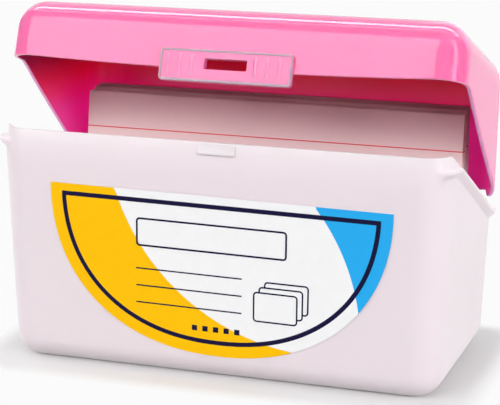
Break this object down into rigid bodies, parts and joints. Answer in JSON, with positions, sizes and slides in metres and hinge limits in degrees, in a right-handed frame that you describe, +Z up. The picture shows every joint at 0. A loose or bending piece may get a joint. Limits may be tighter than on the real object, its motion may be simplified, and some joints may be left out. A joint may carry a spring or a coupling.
{
  "type": "index card file box",
  "caption": "Milky plastic file box for 5 x 3 inch index cards, with a hinged lid, a latch tab, a front label and packs of cards.",
  "frame": {"origin": "centre of the bin's flat underside", "axes": "+Z up, +X to the right seen from the front, +Y to the rear, where the lid is hinged"},
  "size_m": [0.146, 0.0797, 0.1106],
  "materials": {
    "bin": "milky polypropylene, satin",
    "lid": "glossy moulded pink",
    "label": "coated paper sticker",
    "card": "uncoated card, ruled"
  },
  "bodies": {
    "bin": {"card_bin": "bin", "front_label": "label"},
    "lid": {"hinged_lid": "lid"},
    "front_pack": {"index_card_01": "card", "index_card_02": "card", "index_card_03": "card", "index_card_04": "card", "index_card_05": "card", "index_card_06": "card", "index_card_07": "card", "index_card_08": "card", "index_card_09": "card", "index_card_10": "card"},
    "middle_pack": {"index_card_11": "card", "index_card_12": "card", "index_card_13": "card", "index_card_14": "card", "index_card_15": "card", "index_card_16": "card", "index_card_17": "card", "index_card_18": "card", "index_card_19": "card", "index_card_20": "card"},
    "rear_pack": {"index_card_21": "card", "index_card_22": "card", "index_card_23": "card"}
  },
  "joints": [
    {"name": "lid_hinge", "type": "hinge", "parent": "bin", "child": "lid", "pos_m": [0, 0.03922, 0.05002], "axis": [-1, 0, 0], "range_deg": [-18.77, 86]},
    {"name": "front_pack_tip", "type": "hinge", "parent": "bin", "child": "front_pack", "pos_m": [0, 0.00641, 0.00176], "axis": [1, 0, 0], "range_deg": [0, 37.75]},
    {"name": "middle_pack_tip", "type": "hinge", "parent": "bin", "child": "middle_pack", "pos_m": [-0.00039, 0.01583, 0.00194], "axis": [1, 0, 0], "range_deg": [0, 22.7]},
    {"name": "rear_pack_tip", "type": "hinge", "parent": "bin", "child": "rear_pack", "pos_m": [-0.0006, 0.02624, 0.00208], "axis": [1, 0, 0], "range_deg": [0, 11.4]}
  ],
  "couplings": [
    {"joint": "middle_pack_tip", "follows": "front_pack_tip", "ratio": 0.6},
    {"joint": "rear_pack_tip", "follows": "front_pack_tip", "ratio": 0.3}
  ]
}
